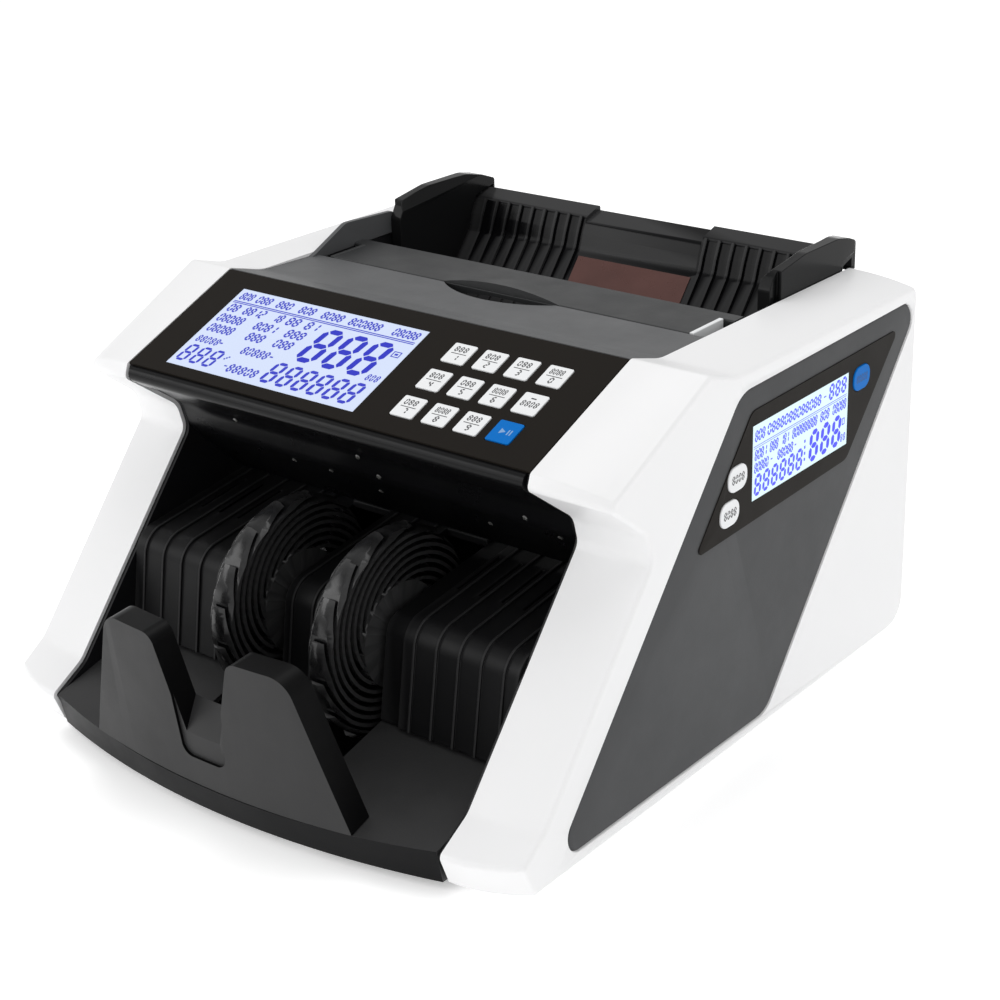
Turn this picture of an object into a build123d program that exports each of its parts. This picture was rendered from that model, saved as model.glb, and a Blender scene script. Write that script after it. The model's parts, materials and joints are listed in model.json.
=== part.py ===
"""Desktop banknote counter: casing, control panel, feed hopper, stacker and drive.

Millimetres. +X is to the operator's right when facing the front, +Y to the back, +Z up.
The origin is on the table, in the middle of the four feet.
"""

import os
from math import atan2, cos, degrees, hypot, radians, sin, tan

from build123d import *

# ---------------------------------------------------------------- driving dimensions
POCKET_X = 105.0        # half width of the stacker pocket, to the inner faces of the side covers
OUTER_X = 136.1         # half width over the side covers
FRAME_T = 2.0           # side frame plates
WALL = 2.5              # moulded walls
REAR_Y = 144.5          # back of the side covers
BASE_Z = 4.0            # underside of the casing above the table
TOP_Z = 164.6           # top of the side covers at their inner edge
INNER_X = POCKET_X - FRAME_T - 0.2   # half width of what fits between the frames
GAP = 0.3               # clearance around moving pieces
ORIGIN_Y = 5.0          # outlines are drawn from the middle of the side covers; this centres the whole

# control panel plane, from its front edge up to its ridge
PANEL_FRONT = (-84.8, 147.2)
PANEL_RIDGE = (-22.0, 171.8)
PANEL_ANGLE = degrees(atan2(PANEL_RIDGE[1] - PANEL_FRONT[1], PANEL_RIDGE[0] - PANEL_FRONT[0]))
PANEL_LENGTH = hypot(PANEL_RIDGE[1] - PANEL_FRONT[1], PANEL_RIDGE[0] - PANEL_FRONT[0])
OVERLAY_T = 1.0

# main display and keys, measured across the panel and up its slope from the front edge
LCD_X = (-88.0, 15.0)
LCD_S = (6.2, 57.4)
KEY_SIZE = (11.0, 11.4)
KEY_COLUMNS = (36.0, 51.4, 66.8, 82.2)
KEY_ROWS = (48.9, 32.3, 15.7)
KEY_PROUD = 0.4
KEY_RADIUS = 0.8

# stacker
WHEEL_X = 26.5
WHEEL_WIDTH = 12.0
WHEEL_AXIS = (-77.0, 58.5)
WHEEL_R = 44.8
FIN_COUNT = 16
FIN_T = 1.4
SLOT_X = (WHEEL_X - 11.0, WHEEL_X + 10.0)
STRIP_X = 47.0          # outer edge of the smooth strip beside each wheel
TRAY_SLOPE = 0.24
TRAY_EDGE = (-145.0, 18.0)
LIP_BOW = 13.4          # how far the middle of the lip stands in front of its ends
LIP_END_Y = -143.2
RIB_PITCH = 10.9

# hopper
LEDGE_Y = (137.7, 148.5)
LEDGE_Z = (167.2, 170.6)
LEDGE_DIP_X = 32.0
LID_Y = (31.8, 61.5)
LID_Z = 164.4
LID_T = 4.0
HINGE = (57.5, 158.8)

# drive train: (y, z) of each shaft
DRUM_AXIS = (52.0, 98.0)
PICKUP_AXIS = (116.0, 116.6)
MOTOR_AXIS = (100.0, 42.0)
DRUM_R = 30.0
PICKUP_R = 13.0
SHAFT_R = 4.0
STACKER_MOTOR_AXIS = (-8.0, 38.0)
DRUM_PULLEY_R = 18.0
PICKUP_PULLEY_R = 9.0
MOTOR_PULLEY_R = 9.0
IMPELLER_PULLEY_R = 11.25
BELT_T = 1.4
BELT_X = (-119.0, -113.0)


# ---------------------------------------------------------------- helpers
def corners(points):
    """Split outline entries (a, b) or (a, b, radius) into points and radii."""
    return [(p[0], p[1]) for p in points], [p[2] if len(p) > 2 else 0.0 for p in points]


def rounded_edges(points, closed=True):
    """Lines and arcs through the corners of an outline, each corner rounded by its radius."""
    places, radii = corners(points)
    count = len(places)
    starts, ends, edges = [], [], []
    for i, (here, radius) in enumerate(zip(places, radii)):
        before, after = places[i - 1], places[(i + 1) % count]
        inner = closed or 0 < i < count - 1
        if radius <= 0 or not inner:
            starts.append(here)
            ends.append(here)
            edges.append(None)
            continue
        u = Vector(before[0] - here[0], before[1] - here[1]).normalized()
        v = Vector(after[0] - here[0], after[1] - here[1]).normalized()
        half = radians(u.get_angle(v)) / 2
        reach = radius / tan(half)
        middle = (u + v).normalized() * (radius / sin(half) - radius)
        starts.append((here[0] + u.X * reach, here[1] + u.Y * reach))
        ends.append((here[0] + v.X * reach, here[1] + v.Y * reach))
        edges.append((here[0] + middle.X, here[1] + middle.Y))
    lines = []
    for i in range(count):
        if edges[i] is not None:
            lines.append(ThreePointArc(starts[i], edges[i], ends[i]))
        if closed or i < count - 1:
            following = starts[(i + 1) % count]
            if hypot(following[0] - ends[i][0], following[1] - ends[i][1]) > 1e-6:
                lines.append(Line(ends[i], following))
    return lines


def outline(points):
    """Face in the local XY plane from a closed outline."""
    return make_face(Wire(rounded_edges(points)))


def shifted(points, distance):
    """Open path moved sideways to its left, with concentric corners."""
    places, radii = corners(points)
    moved = []
    for i, here in enumerate(places):
        normals = []
        for a, b in ((i - 1, i), (i, i + 1)):
            if a >= 0 and b < len(places):
                dx, dy = places[b][0] - places[a][0], places[b][1] - places[a][1]
                size = hypot(dx, dy)
                normals.append((-dy / size, dx / size))
        if len(normals) == 1:
            nx, ny = normals[0]
            moved.append((here[0] + nx * distance, here[1] + ny * distance, 0.0))
            continue
        (ax, ay), (bx, by) = normals
        scale = distance / (1 + ax * bx + ay * by)
        turn = ax * by - ay * bx
        radius = radii[i] - distance if turn > 0 else radii[i] + distance
        moved.append((here[0] + (ax + bx) * scale, here[1] + (ay + by) * scale,
                      max(radius, 0.0) if radii[i] else 0.0))
    return moved


def band(points, thickness):
    """Outline of a sheet of constant thickness, laid to the left of an open path."""
    return list(points) + list(reversed(shifted(points, thickness)))


def across(points, x_low, x_high):
    """Solid with a side-view outline in (y, z), between two x values."""
    return extrude(Plane.YZ.offset(x_low) * outline(points), x_high - x_low)


def block(x, y, z):
    """Box between two corners, given as (low, high) per axis."""
    size = (x[1] - x[0], y[1] - y[0], z[1] - z[0])
    return Pos((x[0] + x[1]) / 2, (y[0] + y[1]) / 2, (z[0] + z[1]) / 2) * Box(*size)


def shaft_between(axis, radius, x_low, x_high):
    """Cylinder along X about a (y, z) axis."""
    face = Plane.YZ.offset(x_low) * (Pos(*axis) * Circle(radius))
    return extrude(face, x_high - x_low)


def ring_between(axis, outer, inner, x_low, x_high):
    """Tube along X about a (y, z) axis."""
    return shaft_between(axis, outer, x_low, x_high) - shaft_between(axis, inner, x_low - 1, x_high + 1)


def both_sides(solid):
    """A solid on the right and its mirror image on the left."""
    return [solid, mirror(solid, Plane.YZ)]


def cut(solid, tools):
    """Solid minus a list of tools, one by one."""
    for tool in tools:
        solid = solid - tool
    return solid


def join(solid, pieces):
    """Solid plus a list of pieces, one by one."""
    for piece in pieces:
        solid = solid + piece
    return solid


def save(name, *shapes):
    """Write one node's STEP file."""
    solids = [s for shape in shapes for s in shape.solids()]
    body = solids[0] if len(solids) == 1 else Compound(children=solids)
    body = Pos(0, ORIGIN_Y, 0) * body
    body.label = name
    export_step(body, f"parts/{name}.step")


def on_panel(s, height=0.0):
    """Plane in the control panel, s up its slope and height above its surface."""
    angle = radians(PANEL_ANGLE)
    y = PANEL_FRONT[0] + s * cos(angle) - height * sin(angle)
    z = PANEL_FRONT[1] + s * sin(angle) + height * cos(angle)
    return Plane(origin=(0, y, z), x_dir=(1, 0, 0), z_dir=(0, -sin(angle), cos(angle)))


def panel_block(x, s, height, radius=0.0):
    """Prism on the panel: x and s ranges, and its low and high faces above the surface."""
    middle = ((x[0] + x[1]) / 2, (s[0] + s[1]) / 2)
    size = (x[1] - x[0], s[1] - s[0])
    shape = RectangleRounded(*size, radius) if radius else Rectangle(*size)
    face = on_panel(0, height[0]) * (Pos(*middle) * shape)
    return extrude(face, height[1] - height[0], dir=on_panel(0).z_dir)


def tray_z(y):
    """Height of the tray's surface at y."""
    return TRAY_EDGE[1] + TRAY_SLOPE * (y - TRAY_EDGE[0])


os.makedirs("parts", exist_ok=True)

# ---------------------------------------------------------------- side covers
# the outline at the pocket and the outline at the outer face, corner for corner
COVER_INNER = [
    (REAR_Y, BASE_Z, 12.0),
    (-138.8, BASE_Z, 2.0),
    (-144.0, 18.0, 2.5),
    (-127.0, 27.5, 12.0),
    (-57.0, 109.5, 6.0),
    (-60.0, 121.0, 10.0),
    (-87.0, 141.3, 3.0),
    (*PANEL_FRONT, 2.0),
    (*PANEL_RIDGE, 3.0),
    (-3.0, 166.2, 25.0),
    (REAR_Y, TOP_Z, 5.0),
]
COVER_OUTER = [
    (REAR_Y, BASE_Z, 12.0),
    (-127.0, BASE_Z, 2.0),
    (-134.0, 19.0, 2.5),
    (-121.0, 27.5, 12.0),
    (-53.5, 107.5, 6.0),
    (-56.0, 119.0, 10.0),
    (-78.5, 136.8, 3.0),
    (-76.3, 140.2, 2.0),
    (-15.0, 169.0, 3.0),
    (2.0, 163.4, 25.0),
    (REAR_Y, 161.0, 5.0),
]
SWEEP = ((0.0, 0.0), (0.55, 0.3), (1.0, 1.0))   # share of the width, share of the set-back


def between(share):
    """Cover outline part of the way from the pocket to the outer face."""
    return [tuple(a + (b - a) * share for a, b in zip(p, q)) for p, q in zip(COVER_INNER, COVER_OUTER)]


def inset(points, distance):
    """Closed outline with every side moved inwards."""
    places, radii = corners(points)
    count = len(places)
    area = sum(places[i - 1][0] * places[i][1] - places[i][0] * places[i - 1][1] for i in range(count))
    side = distance if area > 0 else -distance
    moved = []
    for i, here in enumerate(places):
        before, after = places[i - 1], places[(i + 1) % count]
        ax, ay = here[0] - before[0], here[1] - before[1]
        bx, by = after[0] - here[0], after[1] - here[1]
        a, b = hypot(ax, ay), hypot(bx, by)
        ax, ay, bx, by = -ay / a, ax / a, -by / b, bx / b
        scale = side / (1 + ax * bx + ay * by)
        turn = (ax * by - ay * bx) * (1 if area > 0 else -1)
        radius = radii[i] - distance if turn > 0 else radii[i] + distance
        moved.append((here[0] + (ax + bx) * scale, here[1] + (ay + by) * scale, max(radius, 0.4)))
    return moved


def cover_body(x_low, x_high, distance):
    """Swept cover shape between two x values, with its outline moved in by a distance."""
    sections = []
    for share, setback in SWEEP:
        x = x_low + (x_high - x_low) * share
        sections.append(Plane.YZ.offset(x) * outline(inset(between(setback), distance)
                                                     if distance else between(setback)))
    return loft(sections)


cover = cover_body(POCKET_X, OUTER_X, 0.0)
outer_rim = [e for e in cover.edges() if e.center().X > OUTER_X - 0.01]
cover = fillet(outer_rim, 2.0)
cover = cover - cover_body(POCKET_X - 0.01, OUTER_X - WALL, WALL)

INLAY = [(5.8, 155.6, 14.0), (149.0, 156.0, 8.0), (28.8, 8.5, 14.0), (-116.9, 9.8, 8.0)]
INLAY_T = 2.2
INLAY_FACE = OUTER_X - 0.3
inlay_ledge = across(inset(INLAY, 3.0), OUTER_X - 6, OUTER_X + 3)
# a rebate takes the inlay; the opening behind it lets the display's back through
cover = cover + (across(inset(INLAY, -2.5), OUTER_X - 4.9, OUTER_X - WALL)
                 - across(inset(INLAY, 3.0), OUTER_X - 6, OUTER_X))
rebate = across(inset(INLAY, -0.2), INLAY_FACE - INLAY_T, OUTER_X + 3)
right_cover = cover - rebate - inlay_ledge

# screw bosses that hold each cover to its frame
BOSSES = [(-122.0, 15.0), (125.0, 20.0), (134.0, 116.0)]
boss_solids = [ring_between(b, 4.0, 1.3, POCKET_X, OUTER_X - WALL) for b in BOSSES]
right_cover = join(right_cover, [b & cover_body(POCKET_X, OUTER_X - 1, 0.5) for b in boss_solids])
left_cover = mirror(right_cover, Plane.YZ)
save("right_side_cover", right_cover)
save("left_side_cover", left_cover)

# ---------------------------------------------------------------- inlays and the side display
SIDE_OVERLAY = [(13.8, 145.8, 6.0), (128.2, 146.5, 2.0), (87.4, 101.2, 6.0), (-25.0, 98.8, 2.0)]
SIDE_LCD = ((14.2, 87.5), (108.0, 139.5))
SIDE_BUTTONS = {
    "side_button_blue": (97.6, 134.2),
    "side_button_upper": (3.4, 122.0),
    "side_button_lower": (-2.0, 109.0),
}
SIDE_BUTTON = (13.2, 10.4, 4.6)     # width, height, corner radius
SIDE_PROUD = 0.9         # above the inlay, so a little above the overlay
OVERLAY_FACE = INLAY_FACE + 0.4

inlay = across(INLAY, INLAY_FACE - INLAY_T + 0.05, INLAY_FACE)
inlay = chamfer([e for e in inlay.edges() if abs(e.center().X - INLAY_FACE) < 0.01], 0.8)
lcd_hole = block((OUTER_X - 8, OUTER_X + 3), SIDE_LCD[0], SIDE_LCD[1])


def side_button_face(centre, grow, x):
    """Rounded-square button outline on a plane facing +X."""
    width, height, radius = SIDE_BUTTON
    return Plane.YZ.offset(x) * (Pos(*centre) * RectangleRounded(width + 2 * grow, height + 2 * grow,
                                                               radius + grow))


button_holes = [extrude(side_button_face(c, GAP, OUTER_X - 8), 12) for c in SIDE_BUTTONS.values()]
right_inlay = cut(inlay, [lcd_hole] + button_holes)
save("right_inlay", right_inlay)
save("left_inlay", mirror(inlay, Plane.YZ))
overlay = cut(across(SIDE_OVERLAY, INLAY_FACE, OVERLAY_FACE), [lcd_hole] + button_holes)
save("side_overlay", overlay)
save("side_lcd", block((INLAY_FACE - 7.0, OVERLAY_FACE - 0.15),
                       (SIDE_LCD[0][0] + 0.15, SIDE_LCD[0][1] - 0.15),
                       (SIDE_LCD[1][0] + 0.15, SIDE_LCD[1][1] - 0.15)))
for name, centre in SIDE_BUTTONS.items():
    button = extrude(side_button_face(centre, 0.0, INLAY_FACE - 4.0), 4.0 + SIDE_PROUD)
    button = fillet(button.faces().sort_by(Axis.X)[-1].edges(), 0.4)
    flange = extrude(side_button_face(centre, 1.0, INLAY_FACE - 4.8), 1.2)
    save(name, button + flange)

# ---------------------------------------------------------------- control panel
PANEL_X = 104.4
overlay_s = (0.6, PANEL_LENGTH - 0.8)
key_places = [(x, s) for s in KEY_ROWS for x in KEY_COLUMNS]


def key_block(place, grow, height):
    """Square key outline grown by a margin, between two heights above the panel."""
    x, s = place
    w, h = KEY_SIZE[0] / 2 + grow, KEY_SIZE[1] / 2 + grow
    return panel_block((x - w, x + w), (s - h, s + h), height, KEY_RADIUS + grow)


lcd_window = panel_block(LCD_X, LCD_S, (-12, 2))
key_holes = [key_block(place, GAP, (-12, 2)) for place in key_places]
panel_overlay = panel_block((-PANEL_X, PANEL_X), overlay_s, (-OVERLAY_T, 0))
save("panel_overlay", cut(panel_overlay, [lcd_window] + key_holes))

LCD_DEPTH = 5.0
save("main_lcd", panel_block((LCD_X[0] + 0.15, LCD_X[1] - 0.15), (LCD_S[0] + 0.15, LCD_S[1] - 0.15),
                             (-LCD_DEPTH, -0.2)))

# housing: nose and the plate under the overlay
angle = radians(PANEL_ANGLE)
under = -OVERLAY_T - 0.05


def panel_point(s, height):
    """(y, z) of a point on the panel's section."""
    return (PANEL_FRONT[0] + s * cos(angle) - height * sin(angle),
            PANEL_FRONT[1] + s * sin(angle) + height * cos(angle))


housing_path = [
    (*panel_point(PANEL_LENGTH - 2.0, under), 0.0),
    (*panel_point(-1.6, under), 2.5),
    (-87.4, 141.6, 3.2),
    (-80.5, 136.6, 0.0),
]
housing = across(band(housing_path, WALL), -INNER_X, INNER_X)
save("panel_housing", cut(housing, [lcd_window] + key_holes))

for row in range(3):
    for column in range(4):
        place = (KEY_COLUMNS[column], KEY_ROWS[row])
        cap = key_block(place, 0.0, (-5.0, KEY_PROUD))
        top = [e for e in cap.edges() if on_panel(0, KEY_PROUD).to_local_coords(e.center()).Z > -0.01]
        cap = fillet(top, 0.25)
        flange = key_block(place, 0.9, (-5.6, -4.4))
        post = extrude(on_panel(0, -6.2) * (Pos(*place) * Circle(1.6)), 1.0, dir=on_panel(0).z_dir)
        save(f"key_{row + 1}_{column + 1}", cap + flange + post)

board = panel_block((24.0, 95.0), (6.0, 59.0), (-9.6, -8.0))
domes = [extrude(on_panel(0, -8.0) * (Pos(*place) * Circle(3.0)), 0.8, dir=on_panel(0).z_dir)
         for place in key_places]
save("keypad_board", join(board, domes))

# visor: glossy sheet from the nose down to the note exit
visor_path = [(-78.4, 136.8, 0.0), (-59.0, 122.2, 10.0), (-55.6, 110.6, 12.0), (-29.6, 83.6, 0.0)]
save("front_visor", across(band(visor_path, 1.8), -INNER_X, INNER_X))

# ---------------------------------------------------------------- side frames and bottom
frame_outline = inset(COVER_INNER, 1.6)
frame_outline[0] = (REAR_Y - 3.2, BASE_Z + WALL + 0.2, 4.0)
frame_outline[1] = (-137.6, BASE_Z + WALL + 0.2, 0.5)
frame_outline[-1] = (REAR_Y - 3.2, TOP_Z - 2.6, 4.0)
frame_outline[-2] = (-3.0, 162.4, 20.0)
frame_outline[-3] = (*panel_point(PANEL_LENGTH - 2.0, -2.6), 3.0)
frame = across(frame_outline, POCKET_X - FRAME_T, POCKET_X - 0.05)
BEARING_R = 7.0
BEARING_AXES = {"drum": DRUM_AXIS, "pickup": PICKUP_AXIS, "impeller": WHEEL_AXIS}
frame = cut(frame, [shaft_between(a, BEARING_R + 0.02, 90, 120) for a in BEARING_AXES.values()])
frame = frame - shaft_between(HINGE, 1.55, 90, 120)
REAR_SCREWS = [(92.0, 16.0), (92.0, 140.0)]
for x, z in REAR_SCREWS:
    lug = block((x - 5.0, POCKET_X - FRAME_T + 0.5), (REAR_Y - 8.0, REAR_Y - 3.4), (z - 5.0, z + 5.0))
    frame = frame + lug - extrude(Plane.XZ.offset(-REAR_Y) * (Pos(x, z) * Circle(1.6)), 20)
right_frame = frame
left_frame = cut(mirror(frame, Plane.YZ), [shaft_between(a, 8.0, -120, -90)
                                           for a in (MOTOR_AXIS, STACKER_MOTOR_AXIS)])
save("right_side_frame", right_frame)
save("left_side_frame", left_frame)

bearing = [ring_between(a, BEARING_R, SHAFT_R + 0.05, POCKET_X - 3.6, POCKET_X + 2.0)
           for a in BEARING_AXES.values()]
save("shaft_bearings", *[s for b in bearing for s in both_sides(b)])

FOOT = (78.0, 112.0, 9.0)    # half spacing in x, half spacing in y, radius
foot_holes = [Pos(sx * FOOT[0], sy * FOOT[1], 0) * Cylinder(2.0, 30) for sx in (-1, 1) for sy in (-1, 1)]
pan = block((-INNER_X, INNER_X), (-136.0, REAR_Y - 3.4), (BASE_Z, BASE_Z + WALL))
pan = pan + block((-84, 84), (REAR_Y - 5.6, REAR_Y - 3.4), (BASE_Z, BASE_Z + 14))
pan = join(pan, both_sides(block((INNER_X - 2.0, INNER_X), (-92.0, 130.0), (BASE_Z, BASE_Z + 12))))
pan_vents = [block((x - 1.5, x + 1.5), (55.0, 85.0), (0, 10)) for x in range(30, 91, 8)]
pan = cut(pan, pan_vents + foot_holes)
save("bottom_pan", pan)

feet = []
for sx in (-1, 1):
    for sy in (-1, 1):
        pad = Pos(sx * FOOT[0], sy * FOOT[1], BASE_Z / 2) * Cylinder(FOOT[2], BASE_Z)
        pad = chamfer(pad.edges().sort_by(Axis.Z)[0], 0.8)
        plug = Pos(sx * FOOT[0], sy * FOOT[1], BASE_Z + 1.7) * Cylinder(1.9, 3.4)
        head = Pos(sx * FOOT[0], sy * FOOT[1], BASE_Z + WALL + 0.9) * Cylinder(3.0, 1.6)
        feet.append(pad + plug + head)
save("rubber_feet", *feet)

# ---------------------------------------------------------------- rear cover
rear = block((-INNER_X, INNER_X), (REAR_Y - 3.2, REAR_Y - 0.4), (BASE_Z, 161.0))
MODULE = (22.0, 78.0, 22.5, 45.5)       # power module: x range, z range
rear = rear - block((MODULE[0] - 0.2, MODULE[1] + 0.2), (REAR_Y - 9, REAR_Y + 3),
                    (MODULE[2] - 0.2, MODULE[3] + 0.2))
vent_x = [x for start in (-80, 20) for x in range(start, start + 62, 6)]
rear_vents = [block((x - 1.2, x + 1.2), (REAR_Y - 9, REAR_Y + 3), (70.0, 110.0)) for x in vent_x]
screw_places = [(sx * x, z) for x, z in REAR_SCREWS for sx in (-1, 1)]
screw_holes = [extrude(Plane.XZ.offset(-(REAR_Y + 3)) * (Pos(x, z) * Circle(1.8)), 12)
               for x, z in screw_places]
save("rear_cover", cut(rear, rear_vents + screw_holes))
REAR_FACE = REAR_Y - 0.4


def rear_screw(x, z):
    """Pan-head screw entering the rear cover."""
    head = extrude(Plane.XZ.offset(-(REAR_FACE + 1.7)) * (Pos(x, z) * Circle(3.1)), 1.7)
    head = fillet(head.edges().group_by(Axis.Y)[-1], 1.0)
    head = head - block((x - 0.45, x + 0.45), (REAR_FACE + 0.9, REAR_FACE + 3), (z - 2.0, z + 2.0))
    head = head - block((x - 2.0, x + 2.0), (REAR_FACE + 0.9, REAR_FACE + 3), (z - 0.45, z + 0.45))
    return head + extrude(Plane.XZ.offset(-REAR_FACE) * (Pos(x, z) * Circle(1.55)), 9)


save("case_screws", *[rear_screw(x, z) for x, z in screw_places])

# power module with its inlet, and the rocker
ROCKER_AXIS = (141.6, 34.0)
module = block(MODULE[:2], (REAR_Y - 12, REAR_FACE + 1.0), MODULE[2:])
module = module + block((MODULE[0] - 3, MODULE[1] + 3), (REAR_FACE, REAR_FACE + 1.4),
                        (MODULE[2] - 2, MODULE[3] + 2))
inlet_shape = Polygon((-12.2, -7.5), (12.2, -7.5), (12.2, 3.5), (8.2, 7.5), (-8.2, 7.5), (-12.2, 3.5),
                      align=None)
module = module - extrude(Plane.XZ.offset(-(REAR_Y + 3)) * (Pos(62.5, 34.0) * inlet_shape), 13)
module = module - block((24.8, 45.2), (REAR_Y - 9.5, REAR_Y + 3), (34.0 - 9.6, 34.0 + 9.6))
pins = [block((62.5 + dx - 1.0, 62.5 + dx + 1.0), (REAR_Y - 11, REAR_Y - 2), (34 + dz - 2.0, 34 + dz + 2.0))
        for dx, dz in ((-7, -2.0), (0, 2.0), (7, -2.0))]
module = join(module, pins)
save("power_inlet", join(module, [shaft_between(ROCKER_AXIS, 1.2, 23.5, 25.6),
                                  shaft_between(ROCKER_AXIS, 1.2, 44.4, 46.5)]))
rocker_side = [(REAR_Y - 7.2, 27.0, 1.0), (REAR_Y - 7.2, 41.0, 1.0), (REAR_Y + 1.6, 41.0, 1.0),
               (REAR_Y + 0.4, 34.0, 12.0), (REAR_Y + 1.6, 27.0, 1.0)]
rocker = across(rocker_side, 26.0, 44.0) - shaft_between(ROCKER_AXIS, 1.26, 20, 50)
rocker = rocker.rotate(Axis((0, *ROCKER_AXIS), (1, 0, 0)), 8)
save("rocker_switch", rocker)

# ---------------------------------------------------------------- top cover
TOP_COVER = [(-21.6, 171.4, 0.0), (-3.0, 166.0, 25.0), (31.0, 164.4, 0.0)]
TOP_X = POCKET_X - 0.2
top_cover = across(band(TOP_COVER, -2.0), -TOP_X, TOP_X)
POCKET = (30.0, 19.7, 154.5)      # finger pocket: half width, front of its curved edge, floor height


def pocket_plan(grow):
    """Plan of the finger pocket: an arc towards the front, straight sides under the lid."""
    half, front = POCKET[0] + grow, POCKET[1] - grow
    arc = ThreePointArc((-half, 31.0), (0, front), (half, 31.0))
    sides = Polyline((half, 31.0), (half, 40.0), (-half, 40.0), (-half, 31.0))
    return make_face(Wire([arc] + sides.edges()))


pocket_outer = extrude(Plane.XY.offset(POCKET[2] - 1.5) * pocket_plan(1.5), 163.5 - POCKET[2] + 1.5)
pocket_outer = pocket_outer & block((-40, 40), (10, 31), (140, 170))
pocket_inner = extrude(Plane.XY.offset(POCKET[2]) * pocket_plan(0.0), 30)
top_cover = top_cover + pocket_outer - pocket_inner
wing = [(25.0, 162.9), (25.0, 164.2), (29.0, 165.6, 6.0), (49.7, 174.7, 8.0), (82.0, 172.7, 2.0),
        (84.0, 162.9)]
top_cover = top_cover + across(wing, -TOP_X, -TOP_X + 2.2)
save("top_cover", top_cover)

# ---------------------------------------------------------------- stacker tray with its lip
lip_half = POCKET_X - FRAME_T - 0.2


def lip_face(z, lean, grow=0.0):
    """Plan of the tray at a height, its front edge bowed and moved forward by the lean."""
    ends, middle = LIP_END_Y + 3.4 - lean + grow, LIP_END_Y + 3.4 - LIP_BOW - 1.0 - lean + grow
    half = lip_half - grow
    front = ThreePointArc((half, ends), (0, middle), (-half, ends))
    sides = Polyline((-half, ends), (-half, -95.0 + grow), (half, -95.0 + grow), (half, ends))
    return Plane.XY.offset(z) * make_face(Wire([front] + sides.edges()))


def below_tray(drop):
    """Everything under the tray's plane, moved down by a distance."""
    section = [(-175, tray_z(-175) - drop), (-80, tray_z(-80) - drop), (-80, -20), (-175, -20)]
    return across(section, -120, 120)


tray = loft([lip_face(BASE_Z, 0.0), lip_face(34.0, 6.2)]) & below_tray(0.0)
tray_inside = loft([lip_face(BASE_Z - 2, -0.4, 2.2), lip_face(34.0, 6.2, 2.2)]) & below_tray(2.4)
tray = tray - tray_inside
tray = tray - block((-lip_half - 1, lip_half + 1), (-97.3, -90), (0, tray_z(-97) - 2.4))
wheel_slots = both_sides(block((SLOT_X[0], SLOT_X[1]), (-125.0, -90.0), (2, 50)))
SIDE_CUT = block((-120, 120), (-136.2, -90), (2, BASE_Z + 13.0))
tray = cut(tray, wheel_slots + [SIDE_CUT])
TONGUE = (40.0, 8.0, 4.0, -150.2)     # x, width, length and front end of the stopper's tongues
STOPPER_TRAVEL = 12.0
tongue_slots = both_sides(block((TONGUE[0] - TONGUE[1] / 2 - 0.4, TONGUE[0] + TONGUE[1] / 2 + 0.4),
                                (TONGUE[3] - 0.5, TONGUE[3] + TONGUE[2] + STOPPER_TRAVEL + 0.5), (8, 40)))
tray = cut(tray, tongue_slots)
posts = [Pos(x, y, (BASE_Z + WALL + tray_z(y) - 1.5) / 2) * Cylinder(3.0, tray_z(y) - 1.5 - BASE_Z - WALL)
         for x in (-84, 84) for y in (-104, -128)]
save("stacker_tray", join(tray, posts))

# ---------------------------------------------------------------- note stopper
STOPPER_T = 11.0
LEAN = 4.5
PEAK_Z = 78.2
M_RIGHT = [(8.4, 36.5, 3.0), (20.3, PEAK_Z, 6.0), (47.8, PEAK_Z, 11.0), (68.6, 17.0), (68.6, 8.0)]
M_OUTLINE = M_RIGHT + [(-p[0], *p[1:]) for p in reversed(M_RIGHT)]
NOTCH_STEP = [(13.6, 56.5), (11.2, 28.0, 5.0), (-11.2, 28.0, 5.0), (-13.6, 56.5)]
NOTCH_RISE = 13.0       # the notch's floor climbs towards the wheels
BOW_R = 426.0
FRONT_Y = -156.2


def bowed(front, thickness):
    """Slab bowed in plan like the lip, from its front face backwards."""
    outer = Pos(0, front + BOW_R, 50) * Cylinder(BOW_R, 140)
    inner = Pos(0, front + BOW_R, 50) * Cylinder(BOW_R - thickness, 160)
    return (outer - inner) & block((-80, 80), (-175, -120), (0, 100))


def upright(points):
    """Prism through the stopper from an outline in (x, z)."""
    return extrude(Plane.XZ.offset(100) * outline(points), 80)


stopper = bowed(FRONT_Y, STOPPER_T) & upright(M_OUTLINE)
ramp = [(FRONT_Y - 1, 28.0), (FRONT_Y - 1, 36.0), (FRONT_Y + STOPPER_T + 1, 36.5 + NOTCH_RISE),
        (FRONT_Y + STOPPER_T + 1, 28.0)]
stopper = stopper + (bowed(FRONT_Y, STOPPER_T) & across(ramp, -13.0, 13.0))
stopper = stopper - (bowed(FRONT_Y - 1.0, 2.2) & upright(NOTCH_STEP))
stopper = stopper.rotate(Axis((0, FRONT_Y, 15.0), (1, 0, 0)), LEAN)
stopper = stopper - below_tray(-0.25)
for tongue in both_sides(block((TONGUE[0] - TONGUE[1] / 2, TONGUE[0] + TONGUE[1] / 2),
                               (TONGUE[3], TONGUE[3] + TONGUE[2]), (11.2, 21.0))):
    stopper = stopper + tongue
save("note_stopper", stopper)

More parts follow.
